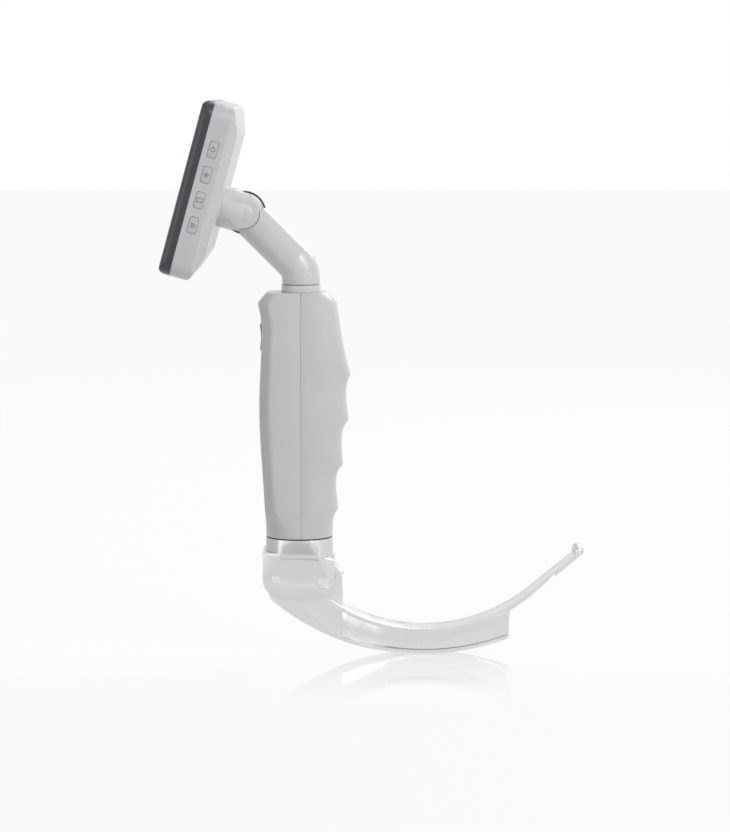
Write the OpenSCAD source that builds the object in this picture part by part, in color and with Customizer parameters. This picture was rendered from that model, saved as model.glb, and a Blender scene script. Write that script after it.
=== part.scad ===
// Video laryngoscope: grip, metal base, folding curved blade, swivelling neck and tilting screen.
// Origin at the centre of the grip on its axis, +Z up, +X towards the blade's tip.

/* [Grip] */
// Length of the grip, from the metal base to its top face
grip_len = 114; // [108:1:124]
// Width of the grip across the palm
grip_w = 29; // [28.4:0.2:33]
// Wall of the two grip shells
grip_wall = 2.2; // [1.8:0.1:2.6]
// Height of the bevel round the top of the grip
top_bevel = 4.8; // [3:0.2:6]
// Distance from one finger ridge to the next
finger_pitch = 20.8; // [19:0.2:22]
// Depth of the finger scallops
finger_depth = 2.2; // [0.8:0.1:2.6]
// Distance from the top face down to the first finger ridge
ridge_drop = 38.4; // [34:0.2:42]

/* [Power button] */
// Height of the power button
power_h = 12.6; // [9:0.1:16]
// Width of the power button
power_w = 9; // [6:0.1:12]
// Distance from the top face down to the middle of the power button
power_drop = 20.7; // [17:0.1:26]
// Travel of the power button
power_travel = 0.6; // [0.3:0.1:1]

/* [Neck] */
// Diameter of the neck tube
neck_d = 17.6; // [16:0.1:19]
// Height of the swivel collar
collar_h = 3.4; // [2:0.1:5]
// Diameter of the swivel spigot
spigot_d = 10; // [8:0.1:11]
// Radius of the neck's bend, on the tube's axis
bend_r = 12; // [10:0.5:16]
// Angle of the neck's bend
bend_angle = 45; // [35:1:50]
// Straight length of the neck from the bend to the tilt pivot
neck_run = 31.5; // [27:0.5:40]
// Diameter of the screen's round stub
stub_d = 19.3; // [18.4:0.1:21]
// Diameter of the tilt pin
tilt_pin_d = 4; // [3:0.1:5]

/* [Screen] */
// Lean of the screen from upright
screen_lean = 15.4; // [5:0.1:25]
// Height of the screen housing
screen_h = 80; // [76:1:90]
// Width of the screen housing
screen_w = 96; // [90:1:110]
// Thickness of the housing at its middle
screen_t = 18.5; // [17:0.1:21]
// Thickness of the black bezel
bezel_t = 5.5; // [4.5:0.1:6.5]
// Wall of the screen housing
screen_wall = 2; // [1.6:0.1:2.4]
// Height of the stub's axis above the screen's lower edge
stub_up = 34; // [30:0.5:40]
// Distance from one key to the next
key_pitch = 11.5; // [10:0.1:12.5]
// Height of a key
key_h = 7.2; // [5:0.1:8]
// Width of a key
key_w = 4; // [3:0.1:4.8]
// Travel of a key
key_travel = 0.5; // [0.3:0.1:0.8]

/* [Metal base] */
// Radius of the round collar under the grip
collar_r = 14.2; // [13.6:0.1:14.4]
// Distance from the grip to the bottom of the cheeks
base_h = 28.4; // [27:0.1:31]
// Distance between the two flat cheek faces
cheek_w = 24; // [22:0.2:25]
// Diameter of the hinge pin
hinge_d = 5.4; // [4.6:0.1:6]
// Diameter of the stop pin
stop_d = 4.1; // [3.4:0.1:4.6]
// Diameter of the spring plunger
plunger_d = 3.8; // [3:0.1:4]
// Travel of the spring plunger
plunger_travel = 2; // [1:0.1:2.5]

/* [Blade] */
// Width of the blade's block between the cheeks
block_w = 12.6; // [11:0.1:13.4]
// Width of the spatula
spatula_w = 16; // [15:0.1:18]
// Height of the blade at the bottom of its curve
blade_h = 12.7; // [11:0.1:15]
// Depth of the curve below the metal base
blade_drop = 26.9; // [24:0.1:32]
// Thickness of the spatula
spatula_t = 1.8; // [1.4:0.1:2.2]
// Radius of the spatula's upper face
spatula_r = 77; // [74:0.5:79]
// Thickness of the lower flange
flange_t = 1.6; // [1.3:0.1:2]
// Radius of the lower flange's underside
flange_r = 110; // [108:0.5:114]
// Length of the straight tip beyond the curve
tip_run = 31; // [24:0.5:36]
// Diameter of the bead at the tip
bead_d = 5; // [4:0.1:6]

/* [Hidden] */
$fn = 64;

// Named clearances
fit = 0.02;       // a pressed pin in its hole
run = 0.05;       // a shaft that turns in its bore
gap = 0.3;        // between pieces that move past each other
seat = 0.1;       // between pieces of one body that lie on each other
eps = 0.01;

PLASTIC = [0.86, 0.87, 0.88];
BLACK = [0.13, 0.15, 0.17];
METAL = [0.62, 0.63, 0.64];
POLISHED = [0.8, 0.81, 0.83];
GREEN = [0.1, 0.35, 0.2];
GREY = [0.35, 0.36, 0.38];
BRASS = [0.8, 0.65, 0.3];

// ---- outline helpers ----
function smooth(t) = t * t * (3 - 2 * t);
function mix(a, b, t) = a + (b - a) * t;
function span(p, z, i = 0) = (i >= len(p) - 2 || z >= p[i + 1][0]) ? i : span(p, z, i + 1);
function part_of(p, z) =
    let (i = span(p, z))
    max(0, min(1, (p[i][0] - z) / (p[i][0] - p[i + 1][0])));
function along(p, z) =
    let (i = span(p, z))
    mix(p[i][1], p[i + 1][1], smooth(part_of(p, z)));
function unit(v) = v / norm(v);
// Corner b of a polygon, between a and c, rounded to radius r with n chords
function corner(a, b, c, r, n) =
    let (u = unit(a - b), v = unit(c - b), half = acos(u * v) / 2)
    let (reach = r / tan(half), mid = b + unit(u + v) * r / sin(half))
    let (s = b + u * reach - mid, e = b + v * reach - mid)
    let (turn = 180 - 2 * half, side = sign(s[0] * e[1] - s[1] * e[0]))
    r < eps ? [b] : [for (k = [0 : n])
        let (t = side * turn * k / n)
        mid + [s[0] * cos(t) - s[1] * sin(t), s[0] * sin(t) + s[1] * cos(t)]];
// Polygon p whose corners are rounded to the radii in r
function rounded(p, r, n = 8) =
    let (m = len(p))
    [for (i = [0 : m - 1]) each corner(p[(i + m - 1) % m], p[i], p[(i + 1) % m], r[i], n)];
module box(lo, hi) { translate(lo) cube(hi - lo); }
// Profile drawn in X and Z, carried along Y from y0 to y1
module slab(y0, y1) { translate([0, y1, 0]) rotate([90, 0, 0]) linear_extrude(y1 - y0) children(); }
// Round bar along Y at x, z
module bar(x, z, d, y0, y1) { translate([x, y1, z]) rotate([90, 0, 0]) cylinder(d = d, h = y1 - y0); }
// Flat plate with round corners in Y and Z, from x0 to x1
module plate(x0, x1, w, h, r) {
    translate([x0, 0, 0]) rotate([90, 0, 90]) linear_extrude(x1 - x0) {
        square([w - 2 * r, h], center = true);
        square([w, h - 2 * r], center = true);
        for (sx = [-1, 1], sy = [-1, 1])
            translate([sx * (w / 2 - r), sy * (h / 2 - r)]) circle(r);
    }
}

// ---- grip ----
g_top = grip_len / 2;
g_bot = -grip_len / 2;
bevel_z = g_top - top_bevel;
ridge_z = g_top - ridge_drop;
power_z = g_top - power_drop;
collar_shift = 1.3;     // the collar is two round halves this far either side of its middle
collar_mid = -1;        // middle of the collar in X
// Finger side: height and reach of the bevel's edge, then of each ridge
front_line = [
    [bevel_z, 16.5],
    [ridge_z, 22.9],
    [ridge_z - finger_pitch, 22],
    [ridge_z - 2 * finger_pitch, 19.3],
    [ridge_z - 3 * finger_pitch, 17.4],
    [ridge_z - 4 * finger_pitch, 16.2]
];
front_dip = [0.32, 0.77, 1, 1.14, 1] * finger_depth;
// Thumb side: a lip at the top, a swell for the palm and a waist above the base
rear_line = [[bevel_z, -19.6], [bevel_z - 9.7, -17.8], [4, -19.2], [g_bot, -16.5]];
function front_x(z, dip = 1) =
    let (i = span(front_line, z), t = part_of(front_line, z))
    let (wave = sin(180 * pow(t, i == 0 ? 1.4 : 0.66)))
    mix(front_line[i][1], front_line[i + 1][1], t) - front_dip[i] * wave * dip;
function rear_x(z) = along(rear_line, z);
base_seam = 0.6;        // thickness of the gasket under the grip
collar_blend = 16;      // height over which the grip's section becomes the round collar's
// Half of the round collar's outline, side = -1 for the thumb side
function collar_half(side, inset, n) = [for (k = [0 : n])
    let (a = side > 0 ? -90 + 180 * k / n : 90 + 180 * k / n)
    [collar_mid + side * collar_shift + (collar_r - inset) * cos(a), (collar_r - inset) * sin(a)]];
// Finger half of the section: a full round
function finger_half(z, inset, dip, n) = [for (k = [0 : n])
    let (a = -90 + 180 * k / n, e = 2 / 2.5)
    [(front_x(z, dip) - inset) * pow(abs(cos(a)), e),
     (grip_w / 2 - inset) * sign(sin(a)) * pow(abs(sin(a)), e)]];
// Thumb half of the section: flat back, slanted facets with soft edges
facet = 4.6;
function thumb_half(z, inset) =
    let (x = rear_x(z) + inset, y = grip_w / 2 - inset, f = facet - 0.4 * inset)
    let (a = corner([0, y], [x + f, y], [x, y - f], 3.4, 3))
    let (b = corner([x + f, y], [x, y - f], [x, 0], 3.4, 3))
    concat([[0, y]], a, b, [[x - 0.3, 0]],
        [for (k = [3 : -1 : 0]) [b[k][0], -b[k][1]]],
        [for (k = [3 : -1 : 0]) [a[k][0], -a[k][1]]], [[0, -y]]);
half_n = 18;            // chords in each half of the section
function section(z, inset, dip = 1) =
    let (w = smooth(max(0, min(1, (g_bot + collar_blend - z) / collar_blend))))
    let (f1 = finger_half(z, inset, dip, half_n), f2 = collar_half(1, inset, half_n))
    let (t1 = thumb_half(z, inset), t2 = collar_half(-1, inset, half_n))
    concat([for (k = [0 : half_n]) mix(f1[k], f2[k], w)],
        [for (k = [1 : half_n - 1]) mix(t1[k], t2[k], w)]);
function level(p, z) = [for (q = p) [q[0], q[1], z]];
// Closed solid through a stack of sections with equal counts, lowest first
module loft(rings) {
    n = len(rings[0]);
    m = len(rings);
    side = [for (k = [0 : m - 2], i = [0 : n - 1])
        let (j = (i + 1) % n)
        each [[k * n + i, (k + 1) * n + i, (k + 1) * n + j], [k * n + i, (k + 1) * n + j, k * n + j]]];
    polyhedron(
        points = [for (r = rings) each r],
        faces = concat([[for (i = [0 : n - 1]) i]], side, [[for (i = [n - 1 : -1 : 0]) (m - 1) * n + i]]));
}
per_finger = 8;         // sections in each finger scallop
step_z = finger_pitch / per_finger;
low_n = floor((ridge_z - g_bot - 0.6) / step_z);
outer_z = concat([g_bot + base_seam], [for (k = [low_n : -1 : 0]) ridge_z - k * step_z],
    [for (k = [1 : 6]) mix(ridge_z, bevel_z, k / 6)]);
bevel_in = 4.1;         // how far the top bevel draws in
module grip_outside() {
    loft(concat([for (z = outer_z) level(section(z, 0), z)], [level(section(bevel_z, bevel_in), g_top)]));
}
cavity_top = g_top - 3;
inner_z = [g_bot - 1, g_bot + collar_blend / 2, g_bot + collar_blend, ridge_z - 2 * finger_pitch,
    ridge_z - finger_pitch, ridge_z, bevel_z - 8, bevel_z - 2];
// Inside of the grip: the same section drawn in by the wall, with no scallops
module grip_inside() {
    loft(concat([for (z = inner_z) level(section(z, grip_wall + front_dip[3] * 0.5, 0.5), z)],
        [level(section(bevel_z, grip_wall + bevel_in), cavity_top)]));
}
power_x = rear_x(power_z);
pocket_x = power_x + 1.3;       // face inside the thumb shell that stops the button's flange
flange_edge = 1;                // how far the flange of a button is wider than its opening
board_x = [-13.2, -11.6];       // the two faces of the grip's circuit board
board_w = 17;
sleeve_d = spigot_d + 4;        // the collar's sleeve in the top of the grip
module grip_openings() {
    translate([0, 0, g_top - 6]) cylinder(d = sleeve_d + 2 * seat, h = 8);
    translate([0, 0, power_z]) {
        plate(power_x - 4, pocket_x + 2, power_w + 2 * gap, power_h + 2 * gap, 2);
        plate(pocket_x, pocket_x + 3, power_w + 2 * flange_edge + 2 * gap, power_h + 2 * flange_edge + 2 * gap, 2.4);
    }
}
split_gap = 0.05;
module grip_half(side) {
    difference() {
        intersection() {
            difference() {
                grip_outside();
                grip_inside();
                grip_openings();
            }
            if (side > 0) box([split_gap, -30, g_bot - 5], [40, 30, g_top + 5]);
            else box([-40, -30, g_bot - 5], [-split_gap, 30, g_top + 5]);
        }
        base_spigot(seat);
    }
}
module handle_rear_shell() { color(PLASTIC) grip_half(-1); }
module handle_front_shell() { color(PLASTIC) grip_half(1); }
module power_button() {
    color(GREY) translate([0, 0, power_z]) difference() {
        union() {
            plate(power_x - 0.9, pocket_x + 0.2, power_w, power_h, 1.8);
            plate(pocket_x + seat, pocket_x + 1, power_w + 2 * flange_edge, power_h + 2 * flange_edge, 2.2);
        }
        // Hollow for the thumb
        bar(power_x - 0.5 - 26, 0, 52, -power_w, power_w);
    }
}
switch_top = pocket_x + 1 + power_travel + seat;
module power_switch() {
    color(BLACK) translate([0, 0, power_z]) {
        plate(switch_top + 0.5, board_x[0], 6, 6, 0.6);
        translate([switch_top, 0, 0]) rotate([0, 90, 0]) cylinder(d = 3.2, h = 1);
    }
}
// Battery: a round cell standing in a moulded cradle
cell_d = 18.4;
cell_l = 65;
cell_x = -0.8;
cell_z = -40;           // lower end of the cell
wall_t = 1.6;           // walls of the cradle
cradle_w = 2 * (cell_d / 2 + 1.2);
module battery() {
    color("royalblue") translate([cell_x, 0, cell_z]) {
        cylinder(d = cell_d, h = cell_l - 1);
        cylinder(d = 6, h = cell_l);
    }
}
module battery_contact() {
    color(BRASS) box([cell_x - 5, -5, cell_z + cell_l + seat], [cell_x + 5, 5, cell_z + cell_l + 0.5]);
}
module battery_spring() {
    color(BRASS) translate([cell_x, 0, cell_z - 3]) difference() {
        cylinder(d1 = 11, d2 = 7, h = 3 - seat);
        translate([0, 0, -1]) cylinder(d = 5, h = 5);
    }
}
cradle_front = 9.6;
module battery_cradle() {
    low = cell_z - 3 - seat - wall_t;
    high = cell_z + cell_l + 0.6;
    color(GREY) intersection() {
        translate([cell_x, 0, low]) cylinder(r = cell_d / 2 + 2.4, h = high + wall_t - low);
        union() {
            box([board_x[1] + seat, -cradle_w / 2, low], [cradle_front, cradle_w / 2, low + wall_t]);
            box([board_x[1] + seat, -cradle_w / 2, high], [cradle_front, cradle_w / 2, high + wall_t]);
            // Back wall that the cell leans on, with a slot down its middle
            difference() {
                box([board_x[1] + seat, -cradle_w / 2, low], [cell_x - 3, cradle_w / 2, high + wall_t]);
                translate([cell_x, 0, low + wall_t]) cylinder(d = cell_d + 2 * seat, h = high - low - wall_t);
                box([-30, -3, low + 8], [cell_x, 3, high - 8]);
            }
        }
    }
}
module handle_board() {
    color(GREEN) box([board_x[0], -board_w / 2, cell_z + 10], [board_x[1], board_w / 2, power_z + power_h / 2]);
}

// ---- metal base ----
base_bot = g_bot - base_h;
cheek_y = cheek_w / 2;
base_x = [-17.9, 15.4];         // rear and front of the cheeks
shoulder_z = g_bot - 8.4;       // where the cheeks' flat faces begin
slot_y = block_w / 2 + 0.2;
hinge = [10.5, base_bot + 8.3];
stop = [-11.8, base_bot + 10];
heel_r = hinge[0] - base_x[0] - 2;      // the block's heel turns about the hinge inside the base
slot_top = hinge[1] + 10.8;
spigot_h = 6;
ramp_rise = 2.8;                // height of the run-out ramp for each millimetre of depth
module collar_outline(inset = 0) {
    for (s = [-1, 1]) translate([collar_mid + s * collar_shift, 0]) circle(collar_r - inset);
    translate([collar_mid - collar_shift, -collar_r + inset]) square([2 * collar_shift, 2 * (collar_r - inset)]);
}
module base_spigot(extra = 0) {
    translate([0, 0, g_bot - eps]) linear_extrude(spigot_h + extra + eps) collar_outline(grip_wall - extra + 1.4);
}
module cheek_outline() {
    polygon(rounded([
        [base_x[0], g_bot - 6.3], [base_x[0], base_bot], [2.4, base_bot],
        [base_x[1], base_bot + 2.9], [base_x[1], g_bot - 9.6], [4, shoulder_z + 1], [-4, g_bot - 6.3]
    ], [0, 10.5, 12, 2.6, 0, 8, 8]));
}
base_screw_y = 7;
base_screw_x = [-8, 5];
module base_block() {
    color(METAL) difference() {
        union() {
            // Round collar that runs down into the block
            difference() {
                translate([0, 0, base_bot + 12]) linear_extrude(g_bot - base_bot - 12) collar_outline();
                for (s = [-1, 1]) ramp_cut(s);
            }
            // Cheeks
            slab(-cheek_y, cheek_y) cheek_outline();
            base_spigot();
        }
        // Slot for the blade's block, its rear end turned about the hinge
        intersection() {
            bar(hinge[0], hinge[1], 2 * heel_r + 2 * gap, -slot_y, slot_y);
            box([-30, -slot_y, base_bot - 20], [30, slot_y, slot_top]);
        }
        bar(hinge[0], hinge[1], hinge_d + 2 * fit, -20, 20);
        bar(stop[0], stop[1], stop_d + 2 * fit, -20, 20);
        // Well for the contact insulator, and holes for the two screws into the grip
        translate([contact_x, 0, slot_top - 1]) cylinder(d = insulator_d + 2 * seat, h = 40);
        for (x = base_screw_x) translate([x, 0, slot_top - 1]) {
            cylinder(d = 3.2, h = 40);
            cylinder(d = 5.8, h = 3.2);
        }
    }
}
// Flat on the side of the collar, run out upwards by a steep ramp with a soft foot
module ramp_cut(s) {
    top = g_bot + 2;
    depth = (top - shoulder_z) / ramp_rise;
    translate([-40, 0, 0]) rotate([90, 0, 90]) linear_extrude(80)
        polygon(rounded([
            [s * cheek_y, base_bot - 1], [s * cheek_y, shoulder_z], [s * (cheek_y + depth), top],
            [s * 30, top], [s * 30, base_bot - 1]
        ], [0, 5, 0, 0, 0]));
}
module base_gasket() {
    color(BLACK) translate([0, 0, g_bot]) difference() {
        linear_extrude(base_seam - 0.02) collar_outline(0.25);
        translate([0, 0, -1]) linear_extrude(3) collar_outline(grip_wall + 1.4 - seat);
    }
}
module base_screws() {
    color(POLISHED) for (x = base_screw_x) translate([x, 0, slot_top]) {
        translate([0, 0, 0.1]) difference() {
            cylinder(d = 5.4, h = 2);
            translate([0, 0, -1]) cylinder(d = 2.5, h = 2, $fn = 6);
        }
        cylinder(d = 3, h = g_bot + spigot_h - slot_top - 0.5);
    }
}
dimple = 0.35;
module flush_pin(p, d, half) {
    difference() {
        bar(p[0], p[1], d, -half, half);
        // Shallow turned dish in each end
        for (s = [-1, 1]) translate([p[0], s * (half + dimple), p[1]]) rotate([90, 0, 0])
            cylinder(d1 = s > 0 ? 0.6 * d : d, d2 = s > 0 ? d : 0.6 * d, h = 2 * dimple, center = true);
    }
}
module hinge_pin() { color(POLISHED) flush_pin(hinge, hinge_d, cheek_y); }
module stop_pin() { color(POLISHED) flush_pin(stop, stop_d, cheek_y); }
contact_x = -2;
insulator_d = 5;
contact_d = 2;
tang_top = stop[1] + 1.4;       // upper edge of the blade's block beside the stop pin
module contact_insulator() {
    color(BLACK) translate([contact_x, 0, slot_top]) difference() {
        cylinder(d = insulator_d, h = g_bot + spigot_h - slot_top);
        translate([0, 0, -1]) cylinder(d = contact_d + 2 * run, h = 40);
    }
}
module contact_pin() {
    color(BRASS) translate([contact_x, 0, tang_top + pad_t + gap])
        cylinder(d = contact_d, h = g_bot + spigot_h - tang_top - pad_t - gap);
}

// ---- blade ----
floor_z = base_bot - blade_drop; // lowest point of the lower flange
arc_x = 57.3;                   // middle of both arcs in X
spat_mid = floor_z + blade_h + spatula_r; // centre of the spatula's arc
flange_mid = floor_z + flange_r;
tip_angle = 38;                 // the spatula's arc ends this far past its lowest point
arc_end = [arc_x + spatula_r * sin(tip_angle), spat_mid - spatula_r * cos(tip_angle)];
tip = arc_end + tip_run * [cos(tip_angle + 1.6), sin(tip_angle + 1.6)];
web_end = 97.8;                 // step in front of the camera
web_y = [1, 8];                 // near and far side of the web in the middle of the blade
lug_x = 19.1;                   // front of the block's lug
lug_top = base_bot + 5.9;
pad_t = 0.8;
boss_r = 8.5;                   // round boss about the hinge
bush_wall = 0.6;
plunger_lean = 25;
plunger_out = 4.3;
plunger_in = 7;
// The plunger passes over the hinge bush, with metal between the two bores
plunger_off = hinge_d / 2 + bush_wall + plunger_d / 2 + 0.5;
plunger_at = hinge + plunger_off * [sin(plunger_lean), cos(plunger_lean)]
    + 2.75 * [cos(plunger_lean), -sin(plunger_lean)];
// Ring sector drawn by its radii and the X range it covers
module arc_band(mid, r_in, r_out, x0, x1) {
    intersection() {
        difference() {
            translate(mid) circle(r_out, $fn = 240);
            translate(mid) circle(r_in, $fn = 240);
        }
        translate([x0, mid[1] - r_out - 1]) square([x1 - x0, r_out]);
    }
}
module spatula_profile() {
    arc_band([arc_x, spat_mid], spatula_r, spatula_r + spatula_t, 12, arc_end[0] + 1.6);
    run = unit(tip - arc_end);
    out = [run[1], -run[0]] * spatula_t;
    polygon([arc_end - run, tip, tip + out, arc_end + out * 1.02 - run]);
}
// Space between the spatula's upper face and the flange's underside
module web_profile(x0, x1, top_in = 0, low_in = 0) {
    difference() {
        translate([x0, floor_z - 1]) square([x1 - x0, 60]);
        translate([arc_x, spat_mid]) circle(spatula_r + top_in, $fn = 240);
        difference() {
            translate([x0 - 1, floor_z - 5]) square([x1 - x0 + 2, 80]);
            translate([arc_x, flange_mid]) circle(flange_r - low_in, $fn = 240);
        }
    }
}
half_s = spatula_w / 2;
half_b = block_w / 2;
module plan(low, high) { translate([0, 0, low]) linear_extrude(high - low) children(); }
module spatula_plan() {
    polygon(rounded([
        [6, -half_b], [22, -half_s], [100, -half_s], [tip[0] + 2, -half_s + 1.2],
        [tip[0] + 2, half_s - 1.2], [100, half_s], [22, half_s], [6, half_b]
    ], [0, 20, 60, 0, 0, 60, 20, 0]));
}
plan_end = web_end + 12;
module web_plan(extra = 0) {
    polygon(rounded([
        [-20, -half_b - extra], [14, -half_b - extra], [40, web_y[0] - extra], [plan_end, web_y[0] - extra],
        [plan_end, web_y[1]], [24, web_y[1]], [12, half_b], [-20, half_b]
    ], [0, 30, 40, 0, 0, 30, 20, 0]));
}
flange_lip = 3;
module flange_plan() {
    polygon(rounded([
        [-20, -half_b], [24, -half_b], [50, web_y[0] - flange_lip], [plan_end, web_y[0] - flange_lip],
        [plan_end, web_y[1]], [24, web_y[1]], [12, half_b], [-20, half_b]
    ], [0, 30, 40, 0, 0, 30, 20, 0]));
}
// Block between the cheeks: heel, boss about the hinge and the lug in front
module tang_profile() {
    difference() {
        union() {
            intersection() {
                translate(hinge) circle(heel_r, $fn = 200);
                polygon([[-30, floor_z], [-30, tang_top], [hinge[0], tang_top], [hinge[0], floor_z]]);
            }
            translate(hinge) circle(boss_r);
            polygon(rounded([
                [hinge[0] - 3, floor_z + 5], [hinge[0] - 3, hinge[1]], [hinge[0] + 2, lug_top],
                [lug_x, lug_top], [lug_x, floor_z + 5]
            ], [0, 0, 0, 1.6, 0]));
        }
        // Underside of the heel follows the flange
        difference() {
            translate([-60, floor_z - 30]) square([140, 80]);
            translate([arc_x, flange_mid]) circle(flange_r, $fn = 240);
        }
        translate([lug_x - 0.01, floor_z - 5]) square([40, 40]);
        // Seat under the stop pin, open upwards
        hull() {
            translate(stop) circle(d = stop_d + 2 * seat);
            translate(stop + [0, 12]) circle(d = stop_d + 2 * seat);
        }
        translate([-30, stop[1]]) square([30 + stop[0], 12]);
    }
}
module blade_bead() {
    len = spatula_w - 2.4 - bead_d;
    bar(tip[0], tip[1], bead_d, -len / 2, len / 2);
    for (s = [-1, 1]) translate([tip[0], s * len / 2, tip[1]]) sphere(d = bead_d);
}
module along_plunger(depth) {
    translate([plunger_at[0], 0, plunger_at[1]]) rotate([0, 90 + plunger_lean, 0]) translate([0, 0, -depth]) children();
}
channel_x = 24;         // rear end of the camera channel
channel_y = 2.6;        // floor of the camera channel
channel_wall = 1.3;     // metal left above and below the channel
camera_d = 5;
camera_len = 14;
face_t = 1.4;
// Height of an arc's lower side at x
function arc_z(mid, r, x) = mid - sqrt(r * r - (x - arc_x) * (x - arc_x));
function channel_mid(x) = (arc_z(spat_mid, spatula_r + spatula_t + channel_wall, x)
    + arc_z(flange_mid, flange_r - flange_t - channel_wall, x)) / 2;
// The camera lies along the middle of the channel, behind its window
camera_x = web_end - 1 - face_t - 0.8;
camera_z = channel_mid(camera_x);
camera_lean = atan2(camera_z - channel_mid(camera_x - camera_len), camera_len);
led_z = camera_z + camera_d / 2 + 1.6;
camera_y = (channel_y + web_y[1] - 0.9) / 2;
module channel_space(inset = 0) {
    slab(channel_y, web_y[1] + 1)
        web_profile(channel_x + inset, web_end - 1 - face_t - inset, spatula_t + channel_wall + inset,
            flange_t + channel_wall + inset);
}
module blade() {
    color(METAL) difference() {
        union() {
            intersection() {
                slab(-20, 20) spatula_profile();
                plan(floor_z - 1, 40) spatula_plan();
            }
            intersection() {
                slab(-20, 20) web_profile(lug_x - 1, web_end + 2, 0.5);
                plan(floor_z - 1, 0) web_plan();
            }
            intersection() {
                slab(-20, 20) arc_band([arc_x, flange_mid], flange_r - flange_t, flange_r, 0, web_end + 2);
                plan(floor_z - 1, 0) flange_plan();
            }
            slab(-half_b, half_b) tang_profile();
            blade_bead();
        }
        // Hollow face of the step
        intersection() {
            bar(web_end - 1 + 42, floor_z + 12.5, 84, -15, 15);
            slab(-15, 15) web_profile(web_end - 2, web_end + 20, spatula_t - 0.05);
        }
        bar(hinge[0], hinge[1], hinge_d + 2 * bush_wall + 2 * fit, -20, 20);
        along_plunger(plunger_in + plunger_travel + 3) cylinder(d = plunger_d + 2 * run, h = 40);
        channel_space();
        translate([web_end - 5, camera_y, camera_z]) rotate([0, 90, 0]) cylinder(d = camera_d - 0.8, h = 8);
        translate([web_end - 5, camera_y, led_z]) rotate([0, 90, 0]) cylinder(d = 2.6, h = 8);
        box([contact_x - 3, -2.6, tang_top - pad_t], [contact_x + 3, 2.6, tang_top + 5]);
    }
}
module hinge_bush() {
    color(BRASS) difference() {
        bar(hinge[0], hinge[1], hinge_d + 2 * bush_wall, -half_b, half_b);
        bar(hinge[0], hinge[1], hinge_d + 2 * run, -20, 20);
    }
}
module contact_pad() {
    color(BRASS) box([contact_x - 2.9, -2.5, tang_top - pad_t + 0.02], [contact_x + 2.9, 2.5, tang_top + pad_t - 0.1]);
}
module plunger() {
    color(POLISHED) along_plunger(plunger_in) {
        cylinder(d = plunger_d, h = plunger_in + plunger_out - plunger_d / 2);
        translate([0, 0, plunger_in + plunger_out - plunger_d / 2]) sphere(d = plunger_d);
    }
}
module plunger_spring() {
    color(POLISHED) along_plunger(plunger_in + plunger_travel + 2.9)
        cylinder(d = plunger_d - 0.6, h = 2.9 - seat);
}
module channel_cover() {
    color(METAL) slab(web_y[1] - 0.8, web_y[1])
        web_profile(channel_x + seat, web_end - 1 - face_t - seat, spatula_t + channel_wall + seat,
            flange_t + channel_wall + seat);
}
module camera_module() {
    color(BLACK) translate([camera_x, camera_y, camera_z])
        rotate([0, -90 - camera_lean, 0]) cylinder(d = camera_d - 1, h = camera_len);
}
module camera_window() {
    color("lightblue") translate([web_end - 1 - face_t, camera_y, camera_z]) rotate([0, 90, 0])
        cylinder(d = camera_d - 0.8 - 0.1, h = face_t - 0.5);
}
module led_lens() {
    color("white") translate([web_end - 1 - face_t - 2, camera_y, led_z]) rotate([0, 90, 0])
        cylinder(d = 2.5, h = face_t + 1.4);
}

// ---- neck ----
collar_top = g_top + collar_h;
arm_foot = collar_top + 0.4;
bend_z = arm_foot + 2;
bend_mid = [-bend_r, bend_z];
bend_out = bend_mid + bend_r * [cos(bend_angle), sin(bend_angle)];
arm_dir = [-sin(bend_angle), cos(bend_angle)];
pivot = bend_out + neck_run * arm_dir;
ball_d = stub_d;
cheek_boss_d = 14;      // flat round bosses at the sides of the ball
leaf_t = 5;             // the neck's leaf between the two halves of the ball
leaf_d = stub_d + 0.5;
washer_t = 0.5;
leaf_slot = leaf_t + 2 * washer_t + 2 * seat;
slot_d = leaf_d + 2 * gap;
cable_d = 6;
retainer_z = g_top - 9;
// Space turned to run up the neck's straight part, with the pivot at its origin
module at_pivot() { translate([pivot[0], 0, pivot[1]]) rotate([0, -bend_angle, 0]) children(); }
join_step = 0.04;       // the straight runs differ from the bend by this, so that their faces stay apart
join_in = 0.4;
module neck_path(d, low, stop_short, step) {
    translate([0, 0, low]) cylinder(d = d + step, h = bend_z + join_in - low);
    translate([bend_mid[0], 0, bend_mid[1]]) rotate([90, 0, 0]) rotate_extrude(angle = bend_angle)
        translate([bend_r, 0]) circle(d = d);
    at_pivot() translate([0, 0, -neck_run - join_in]) cylinder(d = d + step, h = neck_run + join_in - stop_short);
}
module neck_arm() {
    color(PLASTIC) difference() {
        union() {
            difference() {
                union() {
                    neck_path(neck_d, arm_foot, 0, -join_step);
                    translate([0, 0, retainer_z - 2]) cylinder(d = spigot_d, h = arm_foot - retainer_z + 2.5);
                }
                translate([pivot[0], 0, pivot[1]]) sphere(d = ball_d + 2 * gap);
                bar(pivot[0], pivot[1], cheek_boss_d + 2 * gap, -20, 20);
                bar(pivot[0], pivot[1], slot_d, -leaf_slot / 2, leaf_slot / 2);
                // The tube stops at the pivot
                at_pivot() box([-20, -20, 0], [20, 20, 20]);
            }
            bar(pivot[0], pivot[1], leaf_d, -leaf_t / 2, leaf_t / 2);
            at_pivot() box([-6.5, join_step - leaf_t / 2, -13], [6.5, leaf_t / 2 - join_step, 0]);
        }
        bar(pivot[0], pivot[1], tilt_pin_d + 2 * run, -20, 20);
        neck_path(cable_d, retainer_z - 5, 14, join_step);
        translate([0, 0, retainer_z]) difference() {
            cylinder(d = spigot_d + 2, h = 1.2);
            translate([0, 0, -1]) cylinder(d = spigot_d - 1.4, h = 4);
        }
    }
}
module tilt_washers() {
    color(BLACK) for (s = [-1, 1]) difference() {
        y = s * (leaf_t + washer_t) / 2;
        bar(pivot[0], pivot[1], leaf_d, y - washer_t / 2, y + washer_t / 2);
        bar(pivot[0], pivot[1], tilt_pin_d + 4 * run, -20, 20);
    }
}
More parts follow.
